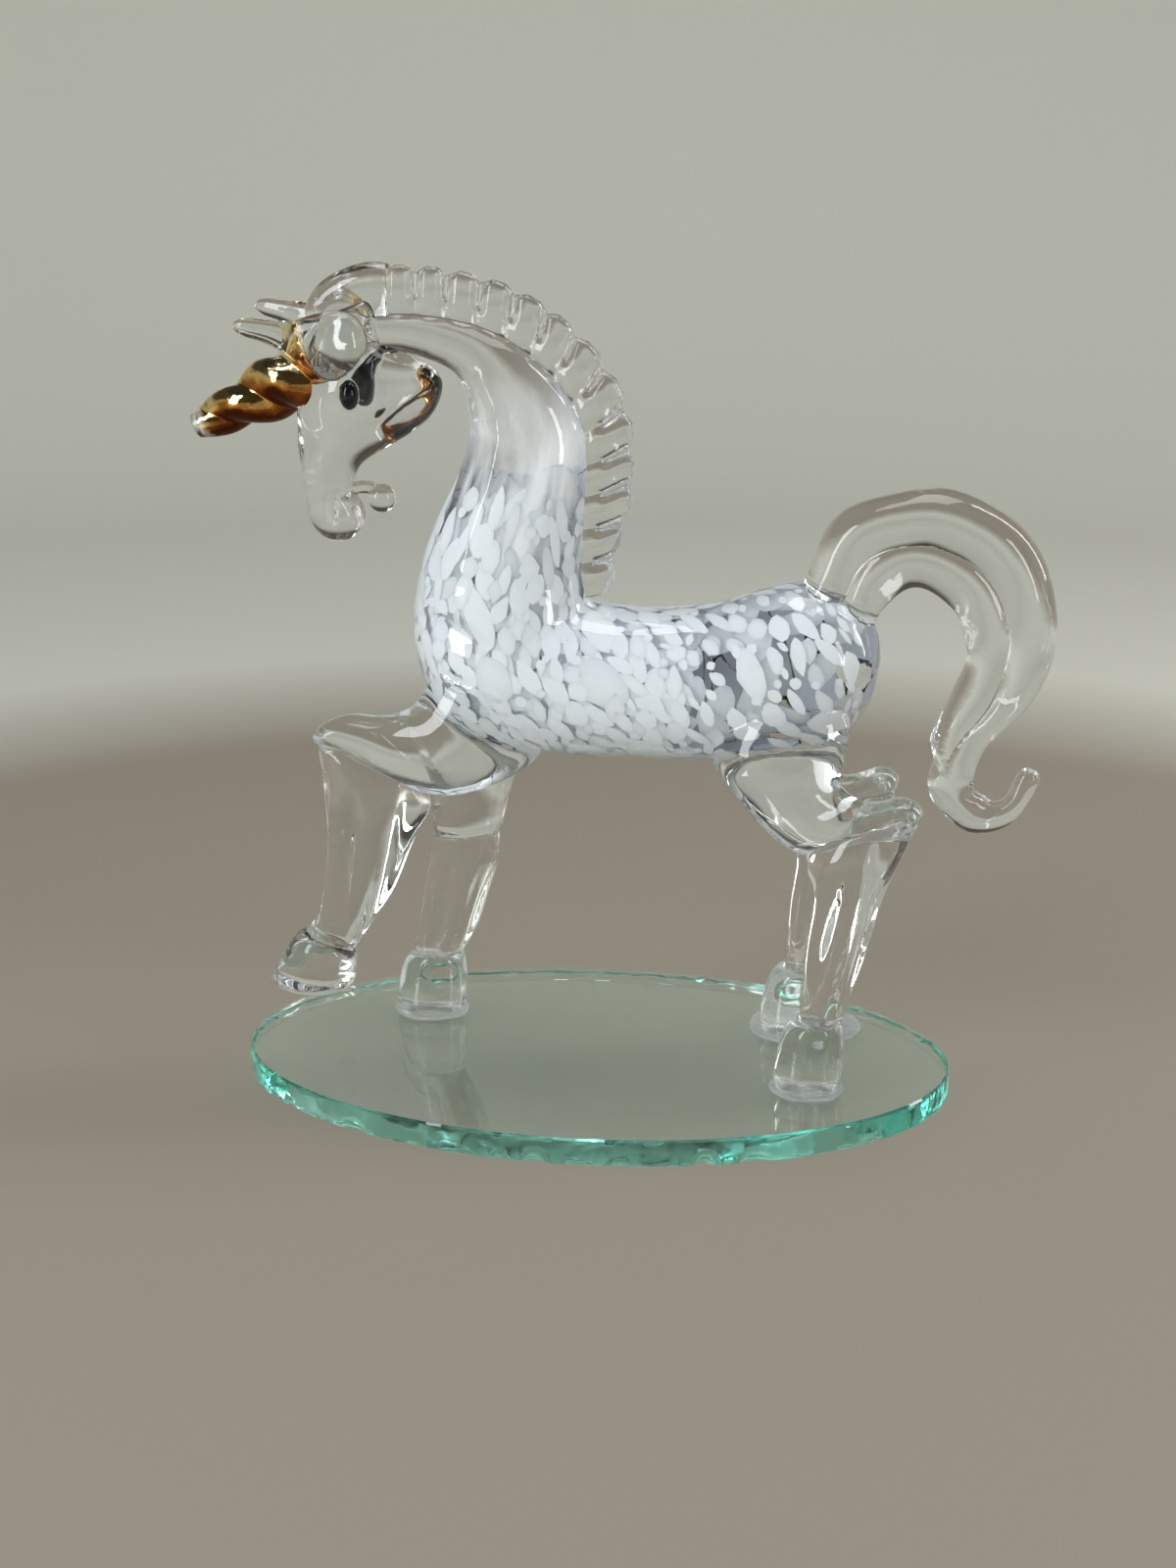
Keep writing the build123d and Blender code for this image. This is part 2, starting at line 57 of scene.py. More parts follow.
# Remaking of the glass: voxel size, rounds of smoothing and how far a piece swells over its seams
TORSO_MELT = (0.28, 10, 0.0)
MELTS = {
    "tail": (0.22, 4, 0.1),
    "forelock": (0.16, 6, 0.1),
    "beard": (0.1, 4, 0.1),
    "left_ear": (0.14, 4, 0.1),
    "right_ear": (0.14, 4, 0.1),
}
MANE_MELT = (0.12, 4, 0.1)
HEAD_MELT = (0.16, 4, 0.1)
SHANK_MELT = (0.15, 14, 0.1)
HOOF_MELT = (0.18, 5, 0.06)
EYE_MELT = (0.08, 2, 0.05)
HORN_MELT = (0.1, 3, 0.02)
SKIN_VOXEL, SKIN_SMOOTHING = 0.4, 8
SMOOTHING_STRENGTH = 0.5

# Lines pressed into the head, in X and Z, with their half-width and depth
JOWL_FOLD = ((-17.0, 77.5), (-20.0, 76.0), (-23.0, 73.5))
JOWL_WIDTH, JOWL_DEPTH = 0.95, 0.45
MOUTH_CREASE = ((-27.0, 66.0), (-26.0, 67.0), (-25.0, 65.5))
MOUTH_WIDTH, MOUTH_DEPTH = 0.35, 0.5

# Neck outline from the withers to the poll: X and Z of the throat, then of the crest,
# as shares of the neck's reach and height from the top of the chest
CHEST_X, BACK_Z = -20.0, 54.6
NECK_REACH, NECK_HEIGHT = 24.0, 31.0
NECK_SHARES = (
    (0.13, -0.24, 0.72, -0.18),
    (0.01, -0.03, 0.80, 0.02),
    (0.04, 0.12, 0.78, 0.19),
    (0.12, 0.30, 0.79, 0.33),
    (0.20, 0.42, 0.80, 0.46),
    (0.27, 0.59, 0.79, 0.60),
    (0.26, 0.69, 0.73, 0.71),
    (0.23, 0.77, 0.61, 0.82),
    (0.14, 0.82, 0.45, 0.91),
    (0.01, 0.85, 0.23, 0.97),
    (-0.12, 0.86, -0.11, 0.99),
)


def neck_place(x_share, z_share):
    """X and Z of a place given as shares of the neck."""
    return CHEST_X + x_share * NECK_REACH, BACK_Z + z_share * NECK_HEIGHT


def neck_line(rows, share):
    """A line up the neck at a share of the way from the throat to the crest."""
    return [neck_place(tx + (cx - tx) * share, tz + (cz - tz) * share) for tx, tz, cx, cz in rows]


CREST_LINE = neck_line(NECK_SHARES[1:], 1.0)
NECK_LINE = neck_line(NECK_SHARES[:-1], 0.5)

# Ridge raised down the side of the neck
RIDGE_SHARE, RIDGE_WIDTH, RIDGE_HEIGHT = 0.33, 0.8, 0.3
NECK_RIDGE = neck_line(NECK_SHARES[2:8], RIDGE_SHARE)

# Mane: reach and lean of the pinches between its lobes, smaller at the withers and upright at the poll
MANE_LOBES = 13
MANE_REACH, MANE_FOOT_SHARE, MANE_SPREAD_SHARE = 4.1, 0.55, 2.2
MANE_LEAN, MANE_LEAN_RISE_SHARE = 2.4, 4.4
PINCH_WIDTH, PINCH_DEPTH = 0.55, 0.5

# Shanks: flutes round each, and how much of the height carries them, from the foot
FLUTES, FLUTE_DEPTH, FLUTED_SHARE, SHANK_END_SHARE = 5, 0.34, 0.85, 0.2

# Horn: its slope, and how far the gold has worn off behind and before the tip, with ragged edges
HORN_DROOP_DEGREES = 26.0
HORN_WORN_FROM, HORN_WORN_TO, HORN_WEAR_RAGGED = -0.4, 0.5, 2.2

# Slant of the body's flakes, and where those of the neck begin
BODY_FLOW = Vector((0.45, 0.0, -0.9))
WITHERS_X, NECK_FOOT_Z = 3.5, 50.0

# Regions of the flakes
RUMP_FROM_X, RUMP_TO_X = 11.0, 29.0
BARREL_TOP_Z = 58.0
NECK_FLAKES_FROM_Z, NECK_FLAKES_TO_Z = 56.0, 66.5
BELLY_TOP_Z, BELLY_FROM_X, BELLY_TO_X = 42.0, -12.0, 16.0

# Flakes: least and most length, least and most width
BIG = ((4.6, 8.2), (3.0, 5.2))
MIDDLE = ((2.4, 4.6), (1.3, 2.4))
SMALL = ((1.0, 2.2), (0.7, 1.4))
LONG = ((2.4, 6.0), (1.2, 2.8))
FLAKE_THICKNESS = 0.16
EDGE_TONE_DROP = 0.22
# Outline of a flake: depth and scale of its waves, most taper, and the level below which its underside lies
FLAKE_WAVE_DEPTH, FLAKE_WAVE_SCALE, FLAKE_MOST_TAPER, UNDERSIDE_LEVEL = 0.22, 1.3, 0.6, -0.1
FLAKE_WAVE_RANGE = 50.0

# Flake layers: depths under the skin, tones, then rounds of region, sizes, tries, spacing and turn; the
# deeper layers have lower tones, which paint shade onto the flakes lying under the others
FLAKE_LAYERS = (
    ((0.3, 0.5), (0.85, 1.25), (
        ("neck", LONG, 2200, 0.62, 0.35),
        ("barrel", BIG, 60, 0.75, 0.5),
        ("rump", BIG, 70, 0.85, 0.4),
        ("barrel", MIDDLE, 2800, 0.6, 0.6),
        ("rump", MIDDLE, 1100, 0.78, 0.4),
        ("barrel", SMALL, 3000, 0.66, 0.9),
        ("rump", SMALL, 900, 0.86, 0.5),
        ("neck", SMALL, 1500, 0.72, 0.5),
    )),
    ((0.65, 0.95), (0.65, 1.0), (
        ("barrel", MIDDLE, 1500, 0.5, 1.0),
        ("neck", LONG, 800, 0.55, 0.4),
        ("rump", MIDDLE, 260, 0.9, 0.6),
        ("belly", MIDDLE, 600, 0.45, 1.2),
    )),
    ((1.1, 1.8), (0.45, 0.85), (
        ("barrel", BIG, 1100, 0.3, 1.5),
        ("neck", BIG, 500, 0.36, 0.5),
        ("rump", BIG, 400, 0.5, 1.5),
        ("belly", BIG, 400, 0.36, 1.5),
    )),
)

# Milky veil in the neck: depth under the skin, and heights of its ends and of its fading
VEIL_DEPTH = 0.7
VEIL_FOOT_Z, VEIL_TOP_Z = 55.0, 81.0
VEIL_FADE_FOOT_Z, VEIL_FULL_Z, VEIL_THIN_Z, VEIL_GONE_Z = 56.0, 62.0, 67.5, 79.5
VEIL_MOST, VEIL_EVEN = 0.85, 0.3
VEIL_CREST, VEIL_CREST_WIDTH, VEIL_CREST_COVER = 2.6, 2.2, 0.4
# Streaks and finer threads of the veil: scales across, through and along the neck, and cover
VEIL_STREAKS, VEIL_STREAK_COVER = (0.55, 0.4, 2.2), 0.75
VEIL_THREADS, VEIL_THREAD_COVER = (1.6, 1.2, 5.0), 0.35

# Plate rim rings from below to above: inset, height as a share of the thickness, roughness
RIM_RINGS = (
    (1.0, 0.0, 0.0),
    (0.3, 0.0, 0.06),
    (0.06, 0.07, 0.06),
    (0.0, 0.23, 0.05),
    (0.0, 0.5, 0.05),
    (0.0, 0.77, 0.04),
    (0.06, 0.93, 0.03),
    (0.28, 1.0, 0.03),
    (0.6, 1.0, 0.0),
)
RIM_STEPS = 720
# Scales of the rim's roughness along X and Y and up the edge
RIM_WAVES = (24.0, 16.0, 4.5)
# How much of a nick each of the rim rings takes
NICK_SHARES = (0.0, 1.0, 0.75, 0.3, 0.0, 0.0, 0.0, 0.0, 0.0)
CHIPPED_RINGS = (1, 2)
# Nicks in the lower edge: angle in degrees, half-width in degrees, depth
RIM_NICKS = (
    (-68.0, 1.6, 0.8), (-60.0, 2.6, 0.45), (-94.0, 2.2, 0.4), (-126.0, 3.0, 0.5), (-143.0, 2.0, 0.4),
    (-35.0, 1.5, 0.35), (20.0, 2.4, 0.5), (75.0, 2.0, 0.4), (128.0, 2.6, 0.5), (170.0, 2.0, 0.4),
)
RIM_SHARP_DEGREES = 35.0

# Glue: rows of radius share and height, lift off the plate, and shift in X and Y and overhang of a dab
GLUE_ROWS = ((1.0, 0.0), (0.97, 0.16), (0.86, 0.27), (0.7, 0.31))
GLUE_STEPS, GLUE_LIFT = 72, 0.01
GLUE_WAVE_DEPTH, GLUE_WAVE_SCALE, GLUE_WAVE_STEP = 0.1, 1.5, 5.0
GLUE_OVERHANG = (0.0, 0.0, 0.5)
GLUE_RUNS = {"right_hind": (1.2, 2.2, 3.0)}

# Stage: a round floor that bends up into a wall, pale low down and dark above
FLOOR_COLOUR, WALL_COLOUR, UPPER_COLOUR = (0.31, 0.275, 0.223), (0.69, 0.695, 0.625), (0.075, 0.057, 0.038)
FLOOR_START, FLOOR_RADIUS, WALL_BEND, WALL_HEIGHT = 50.0, 360.0, 200.0, 620.0
FLOOR_DROP = 0.03
FLOOR_EDGE, WALL_EDGE = 150.0, 210.0
PALE_TOP, DARK_FROM, DARK_LEAN = 180.0, 280.0, -0.1
BEND_STEPS, STAGE_STEPS = 16, 96

# Lamps: place, width and height, watts, colour, spread in degrees, and whether the glass mirrors them
LAMP_TARGET = (0.0, 0.0, 45.0)
LAMPS = {
    "window": ((-285.0, -270.0, 236.0), (105.0, 375.0), 1.05, (0.92, 0.97, 1.0), 180.0, True),
    "overhead": ((50.0, 100.0, 850.0), (500.0, 400.0), 2.3, (1.0, 1.0, 1.0), 180.0, True),
    "side": ((308.0, -168.0, 160.0), (42.0, 210.0), 0.22, (1.0, 1.0, 1.0), 180.0, True),
    "rim": ((294.0, 112.0, 252.0), (42.0, 350.0), 0.5, (1.0, 0.98, 0.95), 180.0, True),
    "fill": ((-15.0, -330.0, 90.0), (400.0, 150.0), 0.15, (1.0, 1.0, 1.0), 80.0, False),
}
ROOM_LIGHT = 0.025
# How often light may bounce in all, by reflection, through glass and through clear surfaces
MOST_BOUNCES, MIRROR_BOUNCES, GLASS_BOUNCES, CLEAR_BOUNCES = 32, 24, 32, 24

# Camera
CAMERA_PLACE = (36.5, -246.6, 107.8)
CAMERA_TILT_DEGREES, CAMERA_TURN_DEGREES = 73.56, 8.61
CAMERA_LENS, CAMERA_SENSOR = 54.0, 36.0


# Shader helpers


def opaque(colour):
    """A colour with full alpha."""
    return (*colour, 1.0)


def grey(level):
    """A neutral colour."""
    return (level, level, level)


def new_material(name, values):
    """A material with its node tree, its shader set to the given values, and its output node."""
    material = bpy.data.materials.new(name)
    material.use_nodes = True
    tree = material.node_tree
    shader = tree.nodes["Principled BSDF"]
    for socket, value in values.items():
        shader.inputs[socket].default_value = value
    return material, tree, shader, tree.nodes["Material Output"]


def place_parts(tree):
    """X, Y and Z of a point in the model's own space."""
    coordinates = tree.nodes.new("ShaderNodeTexCoord")
    parts = tree.nodes.new("ShaderNodeSeparateXYZ")
    tree.links.new(coordinates.outputs["Object"], parts.inputs["Vector"])
    return parts.outputs["X"], parts.outputs["Y"], parts.outputs["Z"]


def maths(tree, operation, *values):
    """A sum of sockets and plain numbers."""
    node = tree.nodes.new("ShaderNodeMath")
    node.operation = operation
    for socket, value in zip(node.inputs, values):
        if isinstance(value, bpy.types.NodeSocket):
            tree.links.new(value, socket)
        else:
            socket.default_value = value
    return node.outputs["Value"]


def noise_node(tree, scale, detail=3.0):
    """Noise in the model's own space, with the scale in waves per metre."""
    coordinates = tree.nodes.new("ShaderNodeTexCoord")
    texture = tree.nodes.new("ShaderNodeTexNoise")
    texture.inputs["Scale"].default_value = scale
    texture.inputs["Detail"].default_value = detail
    tree.links.new(coordinates.outputs["Object"], texture.inputs["Vector"])
    return texture.outputs["Fac"]


def point_value(tree, name):
    """A value stored on the points of a mesh."""
    reader = tree.nodes.new("ShaderNodeAttribute")
    reader.attribute_name = name
    return reader.outputs["Fac"]


def ramp_node(tree, source, stops):
    """A colour ramp over a value, from (position, colour) stops."""
    ramp = tree.nodes.new("ShaderNodeValToRGB")
    for index, (position, colour) in enumerate(stops):
        if index < 2:
            stop = ramp.color_ramp.elements[index]
            stop.position = position
        else:
            stop = ramp.color_ramp.elements.new(position)
        stop.color = opaque(colour)
    tree.links.new(source, ramp.inputs["Fac"])
    return ramp.outputs["Color"]


def mix_colours(tree, factor, first, second):
    """A blend from a colour socket to a plain colour."""
    mix = tree.nodes.new("ShaderNodeMix")
    mix.data_type = "RGBA"
    mix.inputs["B"].default_value = opaque(second)
    tree.links.new(factor, mix.inputs["Factor"])
    tree.links.new(first, mix.inputs["A"])
    return mix.outputs["Result"]


def add_ripple(tree, shader, scale, depth):
    """A soft unevenness of the surface, with the depth in millimetres."""
    bump = tree.nodes.new("ShaderNodeBump")
    bump.inputs["Distance"].default_value = depth * MM
    tree.links.new(noise_node(tree, scale), bump.inputs["Height"])
    tree.links.new(bump.outputs["Normal"], shader.inputs["Normal"])


def let_light_in(tree, shader, output, tint):
    """Lamp light and soft bounced light pass straight through the glass."""
    path = tree.nodes.new("ShaderNodeLightPath")
    passing = tree.nodes.new("ShaderNodeBsdfTransparent")
    passing.inputs["Color"].default_value = opaque(tint)
    mix = tree.nodes.new("ShaderNodeMixShader")
    soft = maths(tree, "MAXIMUM", path.outputs["Is Shadow Ray"], path.outputs["Is Diffuse Ray"])
    tree.links.new(soft, mix.inputs["Fac"])
    tree.links.new(shader.outputs["BSDF"], mix.inputs[1])
    tree.links.new(passing.outputs["BSDF"], mix.inputs[2])
    tree.links.new(mix.outputs["Shader"], output.inputs["Surface"])


# Materials


def make_clear_glass():
    """Fire-polished clear glass with a faint drawn ripple."""
    colour = opaque((0.955, 0.962, 0.96))
    values = {"Base Color": colour, "Roughness": 0.0, "IOR": 1.52, "Transmission Weight": 1.0}
    material, tree, shader, output = new_material("clear_glass", values)
    add_ripple(tree, shader, 260.0, 0.05)
    let_light_in(tree, shader, output, (0.95, 0.955, 0.955))
    return material


def make_plate_glass():
    """Green-edged window glass with faint scuffs."""
    values = {"Base Color": opaque((0.97, 0.99, 0.98)), "IOR": 1.52, "Transmission Weight": 1.0}
    material, tree, shader, output = new_material("plate_glass", values)
    scuffs = ramp_node(tree, noise_node(tree, 420.0, 8.0), ((0.5, grey(0.01)), (0.75, grey(0.2))))
    tree.links.new(scuffs, shader.inputs["Roughness"])
    tint = tree.nodes.new("ShaderNodeVolumeAbsorption")
    tint.inputs["Color"].default_value = opaque((0.25, 0.97, 0.88))
    tint.inputs["Density"].default_value = 24.0
    tree.links.new(tint.outputs["Volume"], output.inputs["Volume"])
    let_light_in(tree, shader, output, (0.97, 0.985, 0.98))
    return material


def make_glue_glass():
    """Hardened glue, a little cloudy."""
    colour = opaque((0.93, 0.97, 0.96))
    values = {"Base Color": colour, "Roughness": 0.18, "IOR": 1.45, "Transmission Weight": 0.85}
    material, tree, shader, output = new_material("clear_glue", values)
    add_ripple(tree, shader, 900.0, 0.08)
    let_light_in(tree, shader, output, (0.85, 0.88, 0.87))
    return material


def make_flake_glass():
    """Opal white glass of the flakes, greyer in the deeper layers as painted shade and greyer at thin
    edges, with a faint blue cast.
    """
    radius = (1.2 * MM, 1.3 * MM, 1.4 * MM)
    values = {"Roughness": 0.55, "Subsurface Weight": 0.25, "Subsurface Radius": radius}
    material, tree, shader, output = new_material("opal_white", values)
    tones = ((0.0, (0.36, 0.38, 0.4)), (0.5, (0.54, 0.58, 0.62)), (1.0, (0.72, 0.77, 0.81)))
    tree.links.new(ramp_node(tree, point_value(tree, "tone"), tones), shader.inputs["Base Color"])
    let_light_in(tree, shader, output, (0.7, 0.72, 0.75))
    return material


def make_milk_glass():
    """A thin milky veil drawn up the neck."""
    values = {"Base Color": opaque((0.9, 0.93, 0.97)), "Roughness": 0.6}
    material, tree, shader, _ = new_material("milk_veil", values)
    tree.links.new(point_value(tree, "cover"), shader.inputs["Alpha"])
    return material


def make_black_glass():
    """The glossy black of the eyes."""
    values = {"Base Color": opaque((0.006, 0.006, 0.008)), "Roughness": 0.04, "Specular IOR Level": 0.35}
    material, tree, shader, _ = new_material("black_glass", values)
    add_ripple(tree, shader, 500.0, 0.03)
    return material


def gold_with_painted_shade(tree):
    """Gold lighter on upward-facing surfaces and dark red-brown on downward-facing ones, a painted
    highlight and painted shade, with random unevenness of the lustre.
    """
    geometry = tree.nodes.new("ShaderNodeNewGeometry")
    facing = tree.nodes.new("ShaderNodeSeparateXYZ")
    tree.links.new(geometry.outputs["Normal"], facing.inputs["Vector"])
    # Which way the surface faces paints light and shade into the gold; the noise is uneven lustre
    shade_and_unevenness = maths(tree, "MULTIPLY_ADD", facing.outputs["Z"], 0.45, noise_node(tree, 330.0, 4.0))
    stops = (
        (0.22, (0.12, 0.03, 0.008)),
        (0.42, (0.42, 0.15, 0.03)),
        (0.58, (0.92, 0.62, 0.2)),
        (0.8, (1.0, 0.84, 0.48)),
    )
    return ramp_node(tree, shade_and_unevenness, stops)


def horn_wear(tree):
    """From 0 on the gold to 1 on the worn tip."""
    slope = math.radians(HORN_DROOP_DEGREES)
    ahead = Vector((-math.cos(slope), 0.0, -math.sin(slope)))
    tip = max(vertex.co.dot(ahead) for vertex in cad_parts["horn"].data.vertices)
    x, _, z = place_parts(tree)
    along = maths(tree, "ADD", maths(tree, "MULTIPLY", x, ahead.x), maths(tree, "MULTIPLY", z, ahead.z))
    ragged = maths(tree, "MULTIPLY_ADD", noise_node(tree, 600.0, 4.0), HORN_WEAR_RAGGED * MM, along)
    reach = tree.nodes.new("ShaderNodeMapRange")
    reach.inputs["From Min"].default_value = tip + HORN_WORN_FROM * MM
    reach.inputs["From Max"].default_value = tip + HORN_WORN_TO * MM
    tree.links.new(ragged, reach.inputs["Value"])
    return reach.outputs["Result"]


def make_gold_lustre():
    """Fired gold lustre, worn to clear glass at the tip."""
    material, tree, shader, _ = new_material("gold_lustre", {"Roughness": 0.1})
    wear = horn_wear(tree)
    # The gold carries a painted highlight on top and painted shade underneath
    colour = mix_colours(tree, wear, gold_with_painted_shade(tree), (0.96, 0.95, 0.9))
    tree.links.new(colour, shader.inputs["Base Color"])
    tree.links.new(maths(tree, "SUBTRACT", 1.0, wear), shader.inputs["Metallic"])
    tree.links.new(wear, shader.inputs["Transmission Weight"])
    add_ripple(tree, shader, 700.0, 0.12)
    return material


# Mesh helpers


def add_piece(name, mesh, material, replaced=()):
    """A finished piece that rides on the root body."""
    mesh.materials.clear()
    mesh.materials.append(material)
    mesh.shade_smooth()
    piece = bpy.data.objects.new(name, mesh)
    bpy.context.scene.collection.objects.link(piece)
    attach(piece, "root")
    if replaced:
        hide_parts(*replaced)


def melted_mesh(name, nodes, voxel, smoothing, swell):
    """One smooth mesh of several nodes run together, swollen a little so that seams overlap."""
    joined = bmesh.new()
    for node in nodes:
        joined.from_mesh(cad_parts[node].data)
    rough = bpy.data.meshes.new(name + "_rough")
    joined.to_mesh(rough)
    joined.free()
    holder = bpy.data.objects.new(name + "_rough", rough)
    bpy.context.scene.collection.objects.link(holder)
    fuse = holder.modifiers.new("fuse", "REMESH")
    fuse.mode = "VOXEL"
    fuse.voxel_size = voxel * MM
    soften = holder.modifiers.new("soften", "SMOOTH")
    soften.factor = SMOOTHING_STRENGTH
    soften.iterations = smoothing
    spread = holder.modifiers.new("swell", "DISPLACE")
    spread.mid_level = 0.0
    spread.strength = swell * MM
    view = bpy.context.evaluated_depsgraph_get()
    mesh = bpy.data.meshes.new_from_object(holder.evaluated_get(view))
    mesh.name = name
    bpy.data.objects.remove(holder)
    return mesh


def store_on_points(mesh, name, values):
    """Keeps one value for each point of a mesh."""
    store = mesh.attributes.new(name, "FLOAT", "POINT")
    store.data.foreach_set("value", values)


def bridge_rings(builder, rings):
    """Joins each ring of points to the next with a band of faces."""
    for low, high in zip(rings, rings[1:]):
        for step in range(len(low)):
            following = (step + 1) % len(low)
            builder.faces.new((low[step], low[following], high[following], high[step]))


def finished_mesh(builder, name):
    """Turns the built points and faces into a mesh."""
    mesh = bpy.data.meshes.new(name)
    builder.to_mesh(mesh)
    builder.free()
    return mesh


def nearest_on_line(line, x, z):
    """The distance from a line of points and the share of the way along it."""
    best = (math.inf, 0.0)
    for index in range(len(line) - 1):
        (ax, az), (bx, bz) = line[index], line[index + 1]
        run = (bx - ax) ** 2 + (bz - az) ** 2
        along = max(0.0, min(1.0, ((x - ax) * (bx - ax) + (z - az) * (bz - az)) / run))
        away = math.hypot(x - ax - along * (bx - ax), z - az - along * (bz - az))
        best = min(best, (away, (index + along) / (len(line) - 1)))
    return best


def press_line(mesh, line, width, depth, sides):
    """Presses a soft crease along a line into the given sides of a piece, or raises a ridge."""
    mesh.update()
    normals = [vertex.normal.copy() for vertex in mesh.vertices]
    for vertex, normal in zip(mesh.vertices, normals):
        if math.copysign(1, vertex.co.y) in sides:
            away, _ = nearest_on_line(line, vertex.co.x / MM, vertex.co.z / MM)
            vertex.co -= normal * depth * MM * abs(normal.y) * math.exp(-((away / width) ** 2))


# Clear glass pieces


def make_torso(glass):
    """Body, neck and upper legs run together, with the ridge down the neck."""
    torso = ["body", "neck"] + [leg + "_upper_leg" for leg in LEGS]
    trunk = melted_mesh("torso", torso, *TORSO_MELT)
    press_line(trunk, NECK_RIDGE, RIDGE_WIDTH, -RIDGE_HEIGHT, LEFT_SIDE)
    add_piece("torso_glass", trunk, glass, torso)


def make_head(glass):
    """The head with the fold of its jowl and the crease of its mouth."""
    head = melted_mesh("head", ["head"], *HEAD_MELT)
    press_line(head, JOWL_FOLD, JOWL_WIDTH, JOWL_DEPTH, BOTH_SIDES)
    press_line(head, MOUTH_CREASE, MOUTH_WIDTH, MOUTH_DEPTH, BOTH_SIDES)
    add_piece("head_glass", head, glass, ["head"])


def place_along(line, share):
    """The place at a share of the length of a line of points."""
    corners = [Vector(corner) for corner in line]
    runs = [(b - a).length for a, b in zip(corners, corners[1:])]
    rest = share * sum(runs)
    for corner, following, run in zip(corners, corners[1:], runs):
        if rest <= run:
            return corner.lerp(following, rest / run)
        rest -= run
    return corners[-1]


def mane_pinches():
    """The outer half of each line between two lobes, evenly spaced along the crest."""
    pinches = []
    for lobe in range(1, MANE_LOBES):
        share = lobe / MANE_LOBES
        before = place_along(CREST_LINE, (lobe - 0.5) / MANE_LOBES)
        after = place_along(CREST_LINE, (lobe + 0.5) / MANE_LOBES)
        ahead = (after - before).normalized()
        outward = Vector((ahead.y, -ahead.x))
        reach = MANE_REACH * min(1.0, MANE_FOOT_SHARE + MANE_SPREAD_SHARE * share)
        lean = MANE_LEAN * min(1.0, MANE_LEAN_RISE_SHARE * share, MANE_SPREAD_SHARE * (1.0 - share))
        foot = place_along(CREST_LINE, share)
        edge = foot + outward * reach + ahead * lean
        pinches.append(((foot + edge) / 2, edge))
    return pinches


def make_mane(glass):
    """The mane with its pinches nipped in."""
    mane = melted_mesh("mane", ["mane"], *MANE_MELT)
    for pinch in mane_pinches():
        press_line(mane, pinch, PINCH_WIDTH, PINCH_DEPTH, BOTH_SIDES)
    add_piece("mane_glass", mane, glass, ["mane"])


def lean_of(mesh, low, high):
    """How far the middle of a piece moves sideways from its foot to its top."""
    ends = []
    for level in (low, high):
        near = [v.co for v in mesh.vertices if abs(v.co.z - level) < SHANK_END_SHARE * (high - low)]
        ends.append(sum(near, Vector()) / len(near))
    lean = (ends[1] - ends[0]) / (1.0 - SHANK_END_SHARE)
    lean.z = 0.0
    return lean


def flute(mesh):
    """Shallow lengthwise flutes round a shank."""
    middle = sum((vertex.co for vertex in mesh.vertices), Vector()) / len(mesh.vertices)
    low = min(vertex.co.z for vertex in mesh.vertices)
    high = max(vertex.co.z for vertex in mesh.vertices)
    lean = lean_of(mesh, low, high)
    for vertex in mesh.vertices:
        share = (vertex.co.z - low) / (high - low)
        across = vertex.co - middle - lean * (share - 0.5)
        across.z = 0.0
        reach = min(1.0, share / FLUTED_SHARE)
        fade = 4.0 * reach * (1.0 - reach)
        turn = math.atan2(across.y, across.x)
        vertex.co += across.normalized() * FLUTE_DEPTH * MM * fade * math.cos(FLUTES * turn)


def make_lower_legs(glass):
    """A fluted shank and a hoof for each leg."""
    for leg in LEGS:
        shank = melted_mesh(leg + "_shank", [leg + "_shank"], *SHANK_MELT)
        flute(shank)
        add_piece(leg + "_shank_glass", shank, glass, [leg + "_shank"])
        hoof = melted_mesh(leg + "_hoof", [leg + "_hoof"], *HOOF_MELT)
        add_piece(leg + "_hoof_glass", hoof, glass, [leg + "_hoof"])


def make_plain_pieces(glass):
    """The clear pieces that only need rounding."""
    for node, melt in MELTS.items():
        add_piece(node + "_glass", melted_mesh(node, [node], *melt), glass, [node])


def make_eyes(black):
    """The two black eyes."""
    for node in ("left_eye", "right_eye"):
        add_piece(node + "_glass", melted_mesh(node, [node], *EYE_MELT), black, [node])


def make_horn(gold):
    """The twisted horn."""
    add_piece("horn_gold", melted_mesh("horn", ["horn"], *HORN_MELT), gold, ["horn"])


# White flakes under the skin of the body and the neck


def bare_skin():
    """The surface of the body and neck run together, with its triangles and their areas."""
    surface = bmesh.new()
    surface.from_mesh(melted_mesh("skin", ["body", "neck"], SKIN_VOXEL, SKIN_SMOOTHING, 0.0))
    bmesh.ops.triangulate(surface, faces=surface.faces)
    tree = BVHTree.FromBMesh(surface)
    faces = [([v.co.copy() for v in face.verts], face.normal.copy()) for face in surface.faces]
    areas = [face.calc_area() for face in surface.faces]
    surface.free()
    return tree, faces, areas


def flake_template():
    """Points and faces of a small round ball."""
    ball = bmesh.new()
    bmesh.ops.create_icosphere(ball, subdivisions=2, radius=1.0)
    points = [v.co.copy() for v in ball.verts]
    faces = [[v.index for v in face.verts] for face in ball.faces]
    ball.free()
    return points, faces


def flow_at(place):
    """The way the glass was drawn at a place, up the neck or slanting round the barrel."""
    if place.z < NECK_FOOT_Z * MM or place.x > WITHERS_X * MM:
        return BODY_FLOW
    _, share = nearest_on_line(NECK_LINE, place.x / MM, place.z / MM)
    index = min(len(NECK_LINE) - 2, int(share * (len(NECK_LINE) - 1)))
    (ax, az), (bx, bz) = NECK_LINE[index], NECK_LINE[index + 1]
    return Vector((bx - ax, 0.0, bz - az)).normalized()


